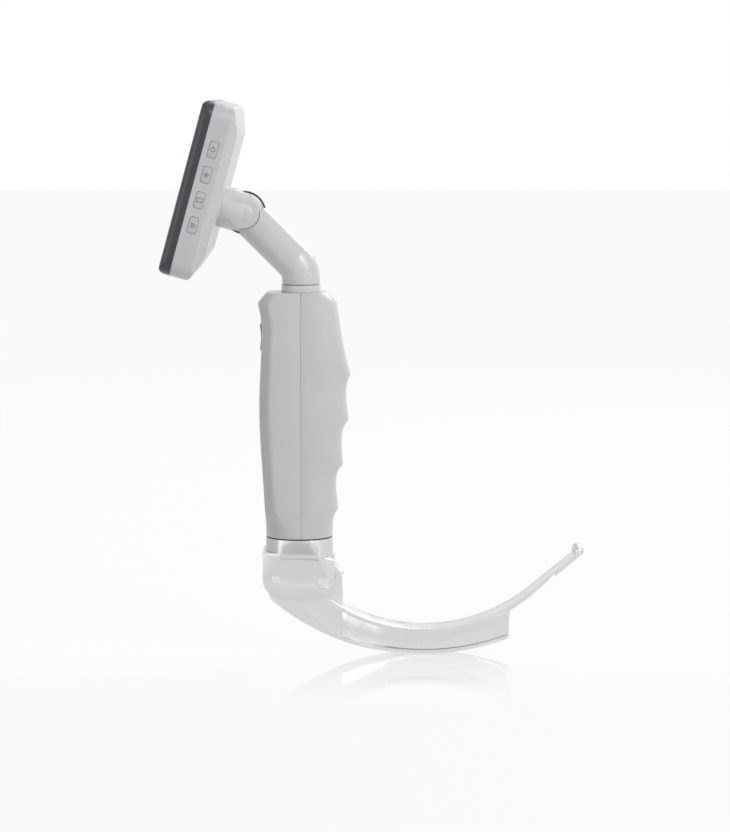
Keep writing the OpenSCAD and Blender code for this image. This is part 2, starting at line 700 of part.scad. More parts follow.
module swivel_washer() {
    color(BLACK) translate([0, 0, collar_top]) difference() {
        cylinder(d = neck_d - 1.2, h = arm_foot - collar_top);
        translate([0, 0, -1]) cylinder(d = spigot_d + 2 * seat, h = 3);
    }
}
module swivel_retainer() {
    color(POLISHED) translate([0, 0, retainer_z + 0.1]) difference() {
        cylinder(d = spigot_d + 3.4, h = 1);
        translate([0, 0, -1]) cylinder(d = spigot_d - 1.4 + 2 * seat, h = 3);
    }
}
sleeve_low = retainer_z + 1.3;
module swivel_collar() {
    color(PLASTIC) difference() {
        union() {
            translate([0, 0, g_top]) cylinder(d = neck_d + 0.45, h = collar_h);
            translate([0, 0, sleeve_low]) cylinder(d = sleeve_d, h = g_top - sleeve_low + 1);
        }
        translate([0, 0, sleeve_low - 1]) cylinder(d = spigot_d + 2 * run, h = 40);
    }
}
module collar_nut() {
    color(BRASS) translate([0, 0, cavity_top - 0.1 - 2.4]) difference() {
        cylinder(d = 17.4, h = 2.4, $fn = 6);
        translate([0, 0, -1]) cylinder(d = sleeve_d + 2 * fit, h = 5);
    }
}

// ---- screen ----
// Space of the screen: pivot at the origin, screen facing -X, before its lean
back_x = -10.7;                         // back of the housing, from the pivot
front_x0 = back_x - screen_t;           // face of the bezel
bezel_x = front_x0 + bezel_t;           // joint of bezel and housing
edge_t = screen_t - bezel_t - 4.5;      // thickness of the housing at its upper and lower edges
chamfer_z = 12;                         // length of the slanted back at top and bottom
side_t = screen_t - bezel_t - 4;        // thickness of the housing at its sides
chamfer_y = 7;
low_z = -stub_up;
high_z = screen_h - stub_up;
mid_z = (low_z + high_z) / 2;
corner_r = 8;
module leaned() { translate([pivot[0], 0, pivot[1]]) rotate([0, screen_lean, 0]) children(); }
// Housing drawn in by inset: three outlines crossed
module housing(inset, front) {
    intersection() {
        translate([0, 0, mid_z])
            plate(front, back_x + 5, screen_w - 2 * inset, screen_h - 2 * inset, corner_r - inset);
        slab(-screen_w, screen_w) polygon(rounded([
            [front - 1, low_z + inset], [bezel_x + edge_t - inset / 2, low_z + inset],
            [back_x - inset, low_z + chamfer_z + inset / 2], [back_x - inset, high_z - chamfer_z - inset / 2],
            [bezel_x + edge_t - inset / 2, high_z - inset], [front - 1, high_z - inset]
        ], [0, 2, 4, 4, 2, 0], 4));
        translate([0, 0, low_z - 1]) linear_extrude(screen_h + 2) polygon(rounded([
            [front - 1, -screen_w / 2 + inset], [bezel_x + side_t - inset / 2, -screen_w / 2 + inset],
            [back_x - inset, -screen_w / 2 + chamfer_y + inset / 2],
            [back_x - inset, screen_w / 2 - chamfer_y - inset / 2],
            [bezel_x + side_t - inset / 2, screen_w / 2 - inset], [front - 1, screen_w / 2 - inset]
        ], [0, 1.2, 2, 2, 1.2, 0], 4));
    }
}
key_x = (bezel_x + bezel_x + side_t) / 2;
function key_z(i) = mid_z + 2.2 + (1.5 - i) * key_pitch;
// Rounded key shape standing along Y, in the screen's space
module key_shape(i, y0, y1, grow = 0) {
    slab(y0, y1) translate([key_x, key_z(i)]) {
        r = 1.1 + grow / 2;
        square([key_w + 2 * grow - 2 * r, key_h + 2 * grow], center = true);
        square([key_w + 2 * grow, key_h + 2 * grow - 2 * r], center = true);
        for (sx = [-1, 1], sz = [-1, 1])
            translate([sx * (key_w / 2 + grow - r), sz * (key_h / 2 + grow - r)]) circle(r);
    }
}
side_y = -screen_w / 2;
socket_z = mid_z - 20;
socket_d = 3.6;
socket_l = 8;           // how far the charging socket reaches in
knuckle_screw_y = leaf_slot / 2 + 1;     // the four screws pass beside the leaf's slot
foot_d = 2 * knuckle_screw_y * sqrt(2) + 3.4;
module monitor_shell() {
    color(PLASTIC) leaned() difference() {
        housing(0, bezel_x);
        difference() {
            housing(screen_wall, bezel_x - 1);
            // Posts that carry the board and take the bezel's screws
            for (p = screw_places) translate([bezel_x, p[0], p[1]]) rotate([0, 90, 0]) cylinder(d = 6, h = 30);
        }
        for (p = screw_places) translate([bezel_x - 1, p[0], p[1]]) rotate([0, 90, 0]) cylinder(d = 2.1, h = 7);
        translate([back_x + 1, 0, 0]) rotate([0, -90, 0]) cylinder(d = foot_d + 2 * seat, h = 10);
        for (i = [0 : 3]) key_shape(i, side_y - 1, side_y + 4, gap / 2);
        // Hole for the charging plug on the far side
        translate([key_x, -side_y - 5, socket_z]) rotate([-90, 0, 0]) cylinder(d = 7, h = 10);
    }
}
post_in = 8;
screw_places = [for (sy = [-1, 1], sz = [-1, 1])
    [sy * (screen_w / 2 - post_in), mid_z + sz * (screen_h / 2 - post_in)]];
window = [screen_w - 24, screen_h - 25];
glass = [screen_w - 6, screen_h - 6];
module bezel() {
    color(BLACK) leaned() difference() {
        intersection() {
            translate([0, 0, mid_z]) plate(front_x0, bezel_x - 0.02, screen_w, screen_h, corner_r);
            slab(-screen_w, screen_w) polygon(rounded([
                [bezel_x + 1, low_z], [bezel_x + 1, high_z], [front_x0, high_z], [front_x0, low_z]
            ], [0, 0, 3.6, 3.6], 8));
            translate([0, 0, low_z - 1]) linear_extrude(screen_h + 2) polygon(rounded([
                [bezel_x + 1, -screen_w / 2], [bezel_x + 1, screen_w / 2],
                [front_x0, screen_w / 2], [front_x0, -screen_w / 2]
            ], [0, 0, 3.6, 3.6], 8));
        }
        translate([0, 0, mid_z]) {
            plate(front_x0 - 1, front_x0 + glass_t, glass[0], glass[1], 5);
            plate(front_x0 - 1, bezel_x + 1, window[0] + 6, window[1] + 10, 1);
        }
        for (p = screw_places) translate([front_x0 + 2.4, p[0], p[1]]) rotate([0, 90, 0]) cylinder(d = 2.4, h = 9);
    }
}
glass_t = 1.2;
module screen_glass() {
    color([0.05, 0.06, 0.07]) leaned() translate([0, 0, mid_z])
        plate(front_x0, front_x0 + glass_t - 0.05, glass[0] - 2 * seat, glass[1] - 2 * seat, 4.9);
}
module lcd_panel() {
    color([0.2, 0.22, 0.25]) leaned() translate([0, 0, mid_z])
        plate(front_x0 + glass_t + 0.05, bezel_x - 0.7, window[0] + 5.6, window[1] + 9.6, 0.8);
}
board_front = bezel_x + 0.1;
module monitor_board() {
    color(GREEN) leaned() translate([0, 0, mid_z])
        plate(board_front, board_front + 1.6, screen_w - 2 * (socket_l + 2 * gap), screen_h - 24, 2);
}
module button_board() {
    y = side_y + screen_wall + 1 + key_travel + seat;
    color(GREEN) leaned() {
        box([key_x - 3, y + 1.2, key_z(3) - 5], [key_x + 4, y + 2.2, key_z(0) + 5]);
        for (i = [0 : 3]) translate([key_x, y + 1.3, key_z(i)]) rotate([90, 0, 0]) cylinder(d = 2.4, h = 1.3);
    }
}
module screen_button(i) {
    color(PLASTIC) leaned() {
        key_shape(i, side_y - 0.2, side_y + screen_wall + 0.5);
        key_shape(i, side_y + screen_wall + seat, side_y + screen_wall + 1, 0.8);
    }
}
module screen_button_1() { screen_button(0); }
module screen_button_2() { screen_button(1); }
module screen_button_3() { screen_button(2); }
module screen_button_4() { screen_button(3); }
module bezel_screws() {
    color(POLISHED) leaned() for (p = screw_places)
        translate([front_x0 + 2.5, p[0], p[1]]) rotate([0, 90, 0]) cylinder(d = 2, h = bezel_t + 2);
}
module charge_socket() {
    color(BLACK) leaned() translate([key_x, -side_y - socket_l, socket_z]) rotate([-90, 0, 0]) difference() {
        cylinder(d = 6.6, h = socket_l - 0.2);
        translate([0, 0, 1.5]) cylinder(d = socket_d, h = 10);
    }
}
foot_t = screen_wall;
module knuckle_places() {
    for (y = [-1, 1], z = [-1, 1]) translate([0, y * knuckle_screw_y, z * knuckle_screw_y]) children();
}
module tilt_knuckle() {
    color(PLASTIC) leaned() difference() {
        union() {
            translate([back_x + 0.02, 0, 0]) rotate([0, 90, 0]) cylinder(d = stub_d, h = -back_x - 0.5);
            sphere(d = ball_d);
            bar(0, 0, cheek_boss_d, -neck_d / 2 + 0.1, neck_d / 2 - 0.1);
            translate([back_x - foot_t, 0, 0]) rotate([0, 90, 0]) cylinder(d = foot_d, h = 4);
        }
        bar(0, 0, slot_d, -leaf_slot / 2, leaf_slot / 2);
        box([0, -leaf_slot / 2, -20], [20, leaf_slot / 2, 20]);
        bar(0, 0, tilt_pin_d + 2 * fit, -tilt_pin_in, 20);
        knuckle_places() translate([back_x - foot_t - 1, 0, 0]) rotate([0, 90, 0]) cylinder(d = 1.7, h = 5);
    }
}
tilt_pin_in = neck_d / 2 - 1.4;
module tilt_pin() {
    color(POLISHED) leaned() difference() {
        bar(0, 0, tilt_pin_d, -tilt_pin_in + seat, neck_d / 2 - 0.3);
        box([-3, neck_d / 2 - 1, -0.4], [3, neck_d / 2, 0.4]);
    }
}
module knuckle_screws() {
    color(POLISHED) leaned() knuckle_places() {
        translate([back_x - foot_t - 1.3, 0, 0]) rotate([0, 90, 0]) cylinder(d = 3.2, h = 1.2);
        translate([back_x - foot_t - 1, 0, 0]) rotate([0, 90, 0]) cylinder(d = 1.6, h = 4.8);
    }
}

bezel();
screen_glass();
lcd_panel();
monitor_shell();
monitor_board();
button_board();
bezel_screws();
knuckle_screws();
charge_socket();
tilt_knuckle();
tilt_pin();
screen_button_1();
screen_button_2();
screen_button_3();
screen_button_4();
neck_arm();
tilt_washers();
swivel_washer();
swivel_retainer();
swivel_collar();
collar_nut();
handle_rear_shell();
handle_front_shell();
power_button();
power_switch();
handle_board();
battery_cradle();
battery();
battery_contact();
battery_spring();
base_gasket();
base_block();
base_screws();
hinge_pin();
stop_pin();
contact_pin();
contact_insulator();
blade();
hinge_bush();
contact_pad();
plunger();
plunger_spring();
channel_cover();
camera_module();
camera_window();
led_lens();
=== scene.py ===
"""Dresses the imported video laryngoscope: finishes, softened edges, key icons, light and camera."""

import logging
import math
from dataclasses import dataclass
from enum import Enum
from typing import Any, Callable, Dict, List, Optional, Sequence, Tuple

import bpy
from mathutils import Matrix, Vector


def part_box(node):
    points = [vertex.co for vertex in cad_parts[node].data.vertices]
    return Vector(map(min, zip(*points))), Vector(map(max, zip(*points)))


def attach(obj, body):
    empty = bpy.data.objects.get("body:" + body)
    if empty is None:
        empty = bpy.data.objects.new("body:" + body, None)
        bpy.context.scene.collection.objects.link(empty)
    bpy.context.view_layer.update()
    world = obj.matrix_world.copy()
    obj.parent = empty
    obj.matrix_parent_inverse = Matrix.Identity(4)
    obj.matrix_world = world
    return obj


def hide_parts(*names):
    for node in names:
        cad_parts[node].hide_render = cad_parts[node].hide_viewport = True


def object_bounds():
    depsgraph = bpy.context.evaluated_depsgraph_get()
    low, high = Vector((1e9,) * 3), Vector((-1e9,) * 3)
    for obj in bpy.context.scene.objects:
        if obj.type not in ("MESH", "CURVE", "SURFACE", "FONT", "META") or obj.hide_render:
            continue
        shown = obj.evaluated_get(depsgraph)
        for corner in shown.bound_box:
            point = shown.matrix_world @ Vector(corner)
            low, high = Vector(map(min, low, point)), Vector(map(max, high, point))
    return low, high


LOG = logging.getLogger("laryngoscope")
MM = 0.001
SHARP_ANGLE = 32.0  # degrees above which an edge is rounded
MERGE_DISTANCE = 2e-6  # metres
FLAT_ANGLE = 0.4  # degrees below which neighbouring faces are joined
Colour = Tuple[float, float, float]
Point = Tuple[float, float, float]
WHITE: Colour = (1.0, 1.0, 1.0)

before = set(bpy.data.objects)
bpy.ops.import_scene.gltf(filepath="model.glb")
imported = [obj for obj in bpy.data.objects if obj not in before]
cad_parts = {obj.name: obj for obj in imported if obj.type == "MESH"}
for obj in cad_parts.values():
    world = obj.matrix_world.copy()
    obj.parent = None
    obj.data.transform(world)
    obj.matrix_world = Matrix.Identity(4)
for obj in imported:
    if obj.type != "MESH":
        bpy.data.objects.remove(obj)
CAD_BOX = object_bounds()


# ---------------------------------------------------------------------------------------------
# Shader maths
# ---------------------------------------------------------------------------------------------


class Wire:
    """An output socket that can be used in Python expressions."""

    def __init__(self, graph: "Graph", socket: bpy.types.NodeSocket) -> None:
        """Wraps one socket.

        Args:
            graph: The graph that owns the socket.
            socket: The output socket.
        """
        self.graph = graph
        self.socket = socket

    def _math(self, operation: str, a: Any, b: Any) -> "Wire":
        """Adds one Math node."""
        return self.graph.node("ShaderNodeMath", {"operation": operation}, {0: a, 1: b})

    def __add__(self, other: Any) -> "Wire":
        """self + other."""
        return self._math("ADD", self, other)

    def __sub__(self, other: Any) -> "Wire":
        """self - other."""
        return self._math("SUBTRACT", self, other)

    def __mul__(self, other: Any) -> "Wire":
        """self * other."""
        return self._math("MULTIPLY", self, other)

    def at_most(self, other: Any) -> "Wire":
        """The smaller of self and other."""
        return self._math("MINIMUM", self, other)

    def ramp(
        self, low: float, high: float, out_low: float = 0.0, out_high: float = 1.0
    ) -> "Wire":
        """Maps low..high to out_low..out_high, clamped and smoothed.

        Args:
            low: Input that gives out_low.
            high: Input that gives out_high.
            out_low: Output at the low end.
            out_high: Output at the high end.

        Returns:
            The mapped value.
        """
        return self.graph.node(
            "ShaderNodeMapRange",
            {"interpolation_type": "SMOOTHSTEP"},
            {
                "Value": self,
                "From Min": low,
                "From Max": high,
                "To Min": out_low,
                "To Max": out_high,
            },
        )


class Graph:
    """Builds one material's nodes."""

    def __init__(self, name: str) -> None:
        """Starts an empty material.

        Args:
            name: Name of the material.
        """
        self.material = bpy.data.materials.new(name)
        self.material.use_nodes = True
        self.tree = self.material.node_tree
        self.tree.nodes.clear()
        self.output = self.tree.nodes.new("ShaderNodeOutputMaterial")
        self._coords: Optional[Wire] = None

    def put(self, node: bpy.types.Node, key: Any, value: Any) -> None:
        """Links or sets one input of a node.

        Args:
            node: The node.
            key: Name or index of the input.
            value: A Wire, a number, a colour or a vector.
        """
        socket = node.inputs[key]
        if isinstance(value, Wire):
            self.tree.links.new(value.socket, socket)
            return
        size = len(socket.default_value) if hasattr(socket.default_value, "__len__") else 0
        if size == 4 and len(value) == 3:
            value = (*value, 1.0)
        socket.default_value = value

    def node(
        self,
        kind: str,
        settings: Optional[Dict[str, Any]] = None,
        inputs: Optional[Dict[Any, Any]] = None,
        out: Any = 0,
    ) -> Wire:
        """Adds a node.

        Args:
            kind: The node's type.
            settings: Properties of the node, set first.
            inputs: Values or wires by socket name or index.
            out: Name or index of the output that is returned.

        Returns:
            The chosen output.
        """
        made = self.tree.nodes.new(kind)
        for key, value in (settings or {}).items():
            setattr(made, key, value)
        for key, value in (inputs or {}).items():
            self.put(made, key, value)
        return Wire(self, made.outputs[out])

    def coords(
        self, scale: Sequence[float] = (1.0, 1.0, 1.0), turn: Sequence[float] = (0.0, 0.0, 0.0)
    ) -> Wire:
        """Object coordinates, stretched and turned.

        Args:
            scale: Stretch along each axis.
            turn: Turn about each axis, in radians.

        Returns:
            The vector.
        """
        if self._coords is None:
            self._coords = self.node("ShaderNodeTexCoord", out="Object")
        if tuple(scale) == (1.0, 1.0, 1.0) and tuple(turn) == (0.0, 0.0, 0.0):
            return self._coords
        return self.node(
            "ShaderNodeMapping",
            {},
            {"Vector": self._coords, "Scale": tuple(scale), "Rotation": tuple(turn)},
        )

    def noise(
        self, size: float, detail: float = 3.0, rough: float = 0.5, vector: Optional[Wire] = None
    ) -> Wire:
        """Noise whose grains are about size metres across.

        Args:
            size: Size of a grain.
            detail: Octaves.
            rough: Strength of the finer octaves.
            vector: Coordinates, plain object ones if left out.

        Returns:
            A value near 0.5.
        """
        return self.node(
            "ShaderNodeTexNoise",
            {},
            {
                "Vector": vector or self.coords(),
                "Scale": 1.0 / size,
                "Detail": detail,
                "Roughness": rough,
            },
            "Fac",
        )

    def blend(self, mask: Any, a: Any, b: Any) -> Wire:
        """Mixes two colours.

        Args:
            mask: 0 for a, 1 for b.
            a: First colour.
            b: Second colour.

        Returns:
            The mixed colour.
        """
        made = self.tree.nodes.new("ShaderNodeMix")
        made.data_type = "RGBA"
        self.put(made, 0, mask)
        self.put(made, 6, a)
        self.put(made, 7, b)
        return Wire(self, made.outputs[2])

    def bump(self, height: Wire, depth: float) -> Wire:
        """A normal from a height.

        Args:
            height: Height from 0 to 1.
            depth: Depth in metres of a height of 1.

        Returns:
            The normal.
        """
        return self.node("ShaderNodeBump", {}, {"Height": height, "Distance": depth}, "Normal")

    def edge_wear(self, reach: float) -> Wire:
        """1 on convex edges and 0 on flats, from the surface's own pointiness.

        Args:
            reach: How far above flat the pointiness counts as a full edge.

        Returns:
            The mask.
        """
        flat = 0.5
        soft_start = 0.15
        point = self.node("ShaderNodeNewGeometry", out="Pointiness")
        return point.ramp(flat + soft_start * reach, flat + reach)

    def surface(self, **inputs: Any) -> bpy.types.Material:
        """Adds the Principled shader and links it to the output.

        Args:
            **inputs: Its inputs, with spaces written as underscores.

        Returns:
            The finished material.
        """
        shader = self.tree.nodes.new("ShaderNodeBsdfPrincipled")
        for key, value in inputs.items():
            self.put(shader, key.replace("_", " "), value)
        self.tree.links.new(shader.outputs[0], self.output.inputs["Surface"])
        return self.material


def shade(colour: Colour, by: float) -> Colour:
    """A colour made lighter or darker by a factor."""
    return tuple(min(1.0, c * by) for c in colour)


# ---------------------------------------------------------------------------------------------
# Finishes
# ---------------------------------------------------------------------------------------------


@dataclass(frozen=True)
class Finish:
    """One finish: a record slot and a way to make its material."""

    name: str
    slot: str

    def build(self) -> bpy.types.Material:
        """Makes the material."""
        raise NotImplementedError

    def material(self) -> bpy.types.Material:
        """The material, made once."""
        return bpy.data.materials.get(self.name) or self.build()


@dataclass(frozen=True)
class MouldedPlastic(Finish):
    """Injection-moulded plastic with a fine spark-eroded grain."""

    colour: Colour = (0.8, 0.8, 0.8)
    roughness: float = 0.38
    grain: float = 0.00022
    grain_depth: float = 0.000006
    coat: float = 0.15
    mottle: float = 0.02
    subsurface: float = 0.0
    cloud_size: float = 0.018
    smear_size: float = 0.006
    wear_reach: float = 0.06

    def build(self) -> bpy.types.Material:
        """Fine grain, slow mottling in colour and gloss, and polished edges."""
        g = Graph(self.name)
        cloud = g.noise(self.cloud_size, detail=3.0, rough=0.55)
        grain = g.noise(self.grain, detail=2.0, rough=0.6)
        smear = g.noise(self.smear_size, 4.0, 0.6, vector=g.coords(scale=(1.0, 1.0, 0.35)))
        wear = g.edge_wear(self.wear_reach)
        tone = cloud.ramp(low=0.35, high=0.65)
        dark = shade(self.colour, 1.0 - self.mottle)
        light = shade(self.colour, 1.0 + 0.5 * self.mottle)
        base = g.blend(tone, dark, light)
        base = g.blend(wear * 0.5, base, shade(self.colour, 1.03))
        glossiest, dullest = self.roughness - 0.04, self.roughness + 0.05
        gloss = smear.ramp(0.3, 0.7, glossiest, dullest) - wear * 0.05
        return g.surface(
            Base_Color=base,
            Roughness=gloss,
            Coat_Weight=self.coat,
            Coat_Roughness=0.25,
            IOR=1.49,
            Subsurface_Weight=self.subsurface,
            Subsurface_Radius=(0.6, 0.55, 0.5),
            Subsurface_Scale=0.0015,
            Normal=g.bump(grain, self.grain_depth),
        )


@dataclass(frozen=True)
class BlastedMetal(Finish):
    """Stainless steel blasted with fine beads."""

    colour: Colour = (0.6, 0.6, 0.61)
    roughness: float = 0.42
    grain: float = 0.00035
    depth: float = 0.000025
    cloud_size: float = 0.009
    wear_reach: float = 0.07

    def build(self) -> bpy.types.Material:
        """Overlapping bead dents, a slow change of tone and brighter rubbed edges."""
        g = Graph(self.name)
        dents = g.node(
            "ShaderNodeTexVoronoi",
            {"feature": "SMOOTH_F1"},
            {"Vector": g.coords(), "Scale": 1.0 / self.grain, "Smoothness": 0.6},
            "Distance",
        )
        fine = g.noise(self.grain * 0.6, detail=3.0, rough=0.65)
        cloud = g.noise(self.cloud_size, detail=4.0, rough=0.55)
        wear = g.edge_wear(self.wear_reach)
        tone = fine.ramp(low=0.3, high=0.7) * 0.7 + cloud.ramp(low=0.3, high=0.7) * 0.3
        base = g.blend(tone, shade(self.colour, 0.9), shade(self.colour, 1.1))
        base = g.blend(wear, base, shade(self.colour, 1.35))
        glossiest, dullest = self.roughness - 0.05, self.roughness + 0.06
        gloss = cloud.ramp(0.3, 0.7, glossiest, dullest) - wear * 0.12
        return g.surface(
            Base_Color=base,
            Metallic=1.0,
            Roughness=gloss,
            Normal=g.bump(dents * 0.7 + fine * 0.5, self.depth),
        )


@dataclass(frozen=True)
class TurnedMetal(Finish):
    """Polished or plated metal with faint turning marks."""

    colour: Colour = (0.8, 0.8, 0.81)
    roughness: float = 0.12
    scratch: float = 0.00008
    scratch_depth: float = 0.0000015
    smudge_size: float = 0.0016

    def build(self) -> bpy.types.Material:
        """Fine rings across the axis, a few smudges and small scratches."""
        g = Graph(self.name)
        rings = g.noise(self.scratch, 2.0, 0.5, vector=g.coords(scale=(1.0, 6.0, 1.0)))
        smudge = g.noise(self.smudge_size, detail=3.0, rough=0.6)
        base = g.blend(smudge.ramp(0.35, 0.75), self.colour, shade(self.colour, 0.86))
        gloss = smudge.ramp(0.3, 0.75, self.roughness, self.roughness + 0.1)
        normal = g.bump(rings, self.scratch_depth)
        return g.surface(Base_Color=base, Metallic=1.0, Roughness=gloss, Normal=normal)


@dataclass(frozen=True)
class DarkGlass(Finish):
    """Cover glass over a black mask and a sleeping display."""

    mask: Colour = (0.012, 0.013, 0.016)
    dust: Colour = (0.06, 0.06, 0.07)
    smear_size: float = 0.012
    dust_size: float = 0.0007
    smear_depth: float = 0.000002

    def build(self) -> bpy.types.Material:
        """Glossy black with faint smears and a little dust."""
        g = Graph(self.name)
        smear = g.noise(self.smear_size, 5.0, 0.6, vector=g.coords(scale=(1.0, 1.0, 2.5)))
        dust = g.noise(self.dust_size, detail=2.0, rough=0.5)
        base = g.blend(dust.ramp(low=0.62, high=0.75) * 0.3, self.mask, self.dust)
        return g.surface(
            Base_Color=base,
            Roughness=smear.ramp(0.35, 0.75, 0.04, 0.14),
            IOR=1.52,
            Coat_Weight=0.6,
            Coat_Roughness=0.03,
            Normal=g.bump(smear, self.smear_depth),
        )


@dataclass(frozen=True)
class CircuitBoard(Finish):
    """Green solder resist over copper tracks."""

    resist: Colour = (0.02, 0.16, 0.07)
    track: Colour = (0.04, 0.3, 0.13)
    pad: Colour = (0.62, 0.6, 0.5)
    tracks_per_metre: float = 160.0
    track_depth: float = 0.00004
    pad_size: float = 0.0012

    def build(self) -> bpy.types.Material:
        """Darker resist between raised tracks and small pads."""
        g = Graph(self.name)
        tracks = g.node(
            "ShaderNodeTexBrick",
            {"offset": 0.5},
            {
                "Vector": g.coords(turn=(1.5708, 0.0, 0.0)),
                "Scale": self.tracks_per_metre,
                "Mortar Size": 0.06,
                "Color1": WHITE,
                "Color2": (0.6, 0.6, 0.6),
                "Mortar": (0.0, 0.0, 0.0),
            },
            "Fac",
        )
        speck = g.noise(self.pad_size, detail=3.0, rough=0.6)
        base = g.blend(tracks * 0.6, self.resist, self.track)
        base = g.blend(speck.ramp(low=0.66, high=0.7), base, self.pad)
        return g.surface(
            Base_Color=base,
            Roughness=speck.ramp(0.3, 0.7, 0.3, 0.45),
            Metallic=speck.ramp(low=0.66, high=0.7) * 0.8,
            Normal=g.bump(tracks, self.track_depth),
        )


@dataclass(frozen=True)
class LensGlass(Finish):
    """Coated lens glass in front of a dark barrel."""

    dark: Colour = (0.02, 0.025, 0.05)
    light: Colour = (0.03, 0.04, 0.07)
    speck_size: float = 0.0008

    def build(self) -> bpy.types.Material:
        """Nearly black, with a coated sheen and faint specks."""
        g = Graph(self.name)
        speck = g.noise(self.speck_size, detail=2.0, rough=0.5)
        base = g.blend(speck.ramp(low=0.4, high=0.6), self.dark, self.light)
        return g.surface(
            Base_Color=base,
            Roughness=speck.ramp(0.3, 0.7, 0.02, 0.07),
            IOR=1.6,
            Coat_Weight=1.0,
            Coat_Roughness=0.02,
        )


class Finishes:
    """The finishes of the laryngoscope, by what they cover."""

    GRIP = MouldedPlastic(
        "grip_plastic", "white_plastic", (0.69, 0.70, 0.715), 0.36, subsurface=0.06
    )
    SCREEN_CASE = MouldedPlastic("screen_case_plastic", "white_plastic", (0.66, 0.67, 0.68), 0.34)
    NECK = MouldedPlastic(
        "neck_plastic", "white_plastic", (0.74, 0.745, 0.75), 0.28, grain_depth=0.000002, coat=0.3
    )
    KEYS = MouldedPlastic("key_plastic", "white_plastic", (0.62, 0.63, 0.64), 0.42)
    BEZEL = MouldedPlastic(
        "bezel_plastic", "black_bezel", (0.022, 0.03, 0.037), 0.3, coat=0.35, mottle=0.08
    )
    POWER_KEY = MouldedPlastic("power_key_plastic", "dark_plastic", (0.3, 0.31, 0.32), 0.45)
    DARK_PARTS = MouldedPlastic("dark_moulding", "dark_plastic", (0.08, 0.085, 0.09), 0.5)
    NYLON = MouldedPlastic("black_nylon_moulding", "black_nylon", (0.02, 0.02, 0.022), 0.5)
    SEAL = MouldedPlastic("seal_rubber", "rubber", (0.02, 0.02, 0.022), 0.65, coat=0.0)
    CELL = MouldedPlastic("cell_sleeve", "cell_wrap", (0.1, 0.2, 0.5), 0.25, coat=0.6)
    ICON = MouldedPlastic("icon_ink", "dark_plastic", (0.13, 0.135, 0.14), 0.5)
    BASE = BlastedMetal("base_blasted_steel", "blasted_metal", (0.47, 0.475, 0.48), 0.46)
    BLADE = BlastedMetal(
        "blade_blasted_steel", "blasted_metal", (0.5, 0.5, 0.505), 0.4, grain=0.0003, depth=0.000016
    )
    POLISHED = TurnedMetal("polished_steel_turned", "polished_steel", (0.78, 0.79, 0.81), 0.1)
    BRASS = TurnedMetal("plated_brass", "brass", (0.75, 0.6, 0.3), 0.25)
    GLASS = DarkGlass("cover_glass", "screen_glass")
    BOARD = CircuitBoard("green_board", "circuit_board")
    LENS = LensGlass("lens", "lens_glass")


# ---------------------------------------------------------------------------------------------
# Modelling helpers
# ---------------------------------------------------------------------------------------------


class Body(Enum):
    """The bodies that pieces ride on."""

    HANDLE = "handle"
    NECK = "neck"
    SCREEN = "screen"
    KEY_1 = "key_1"
    KEY_2 = "key_2"
    KEY_3 = "key_3"
    KEY_4 = "key_4"
    POWER_KEY = "power_key"
    BLADE = "blade"
    PLUNGER = "plunger"


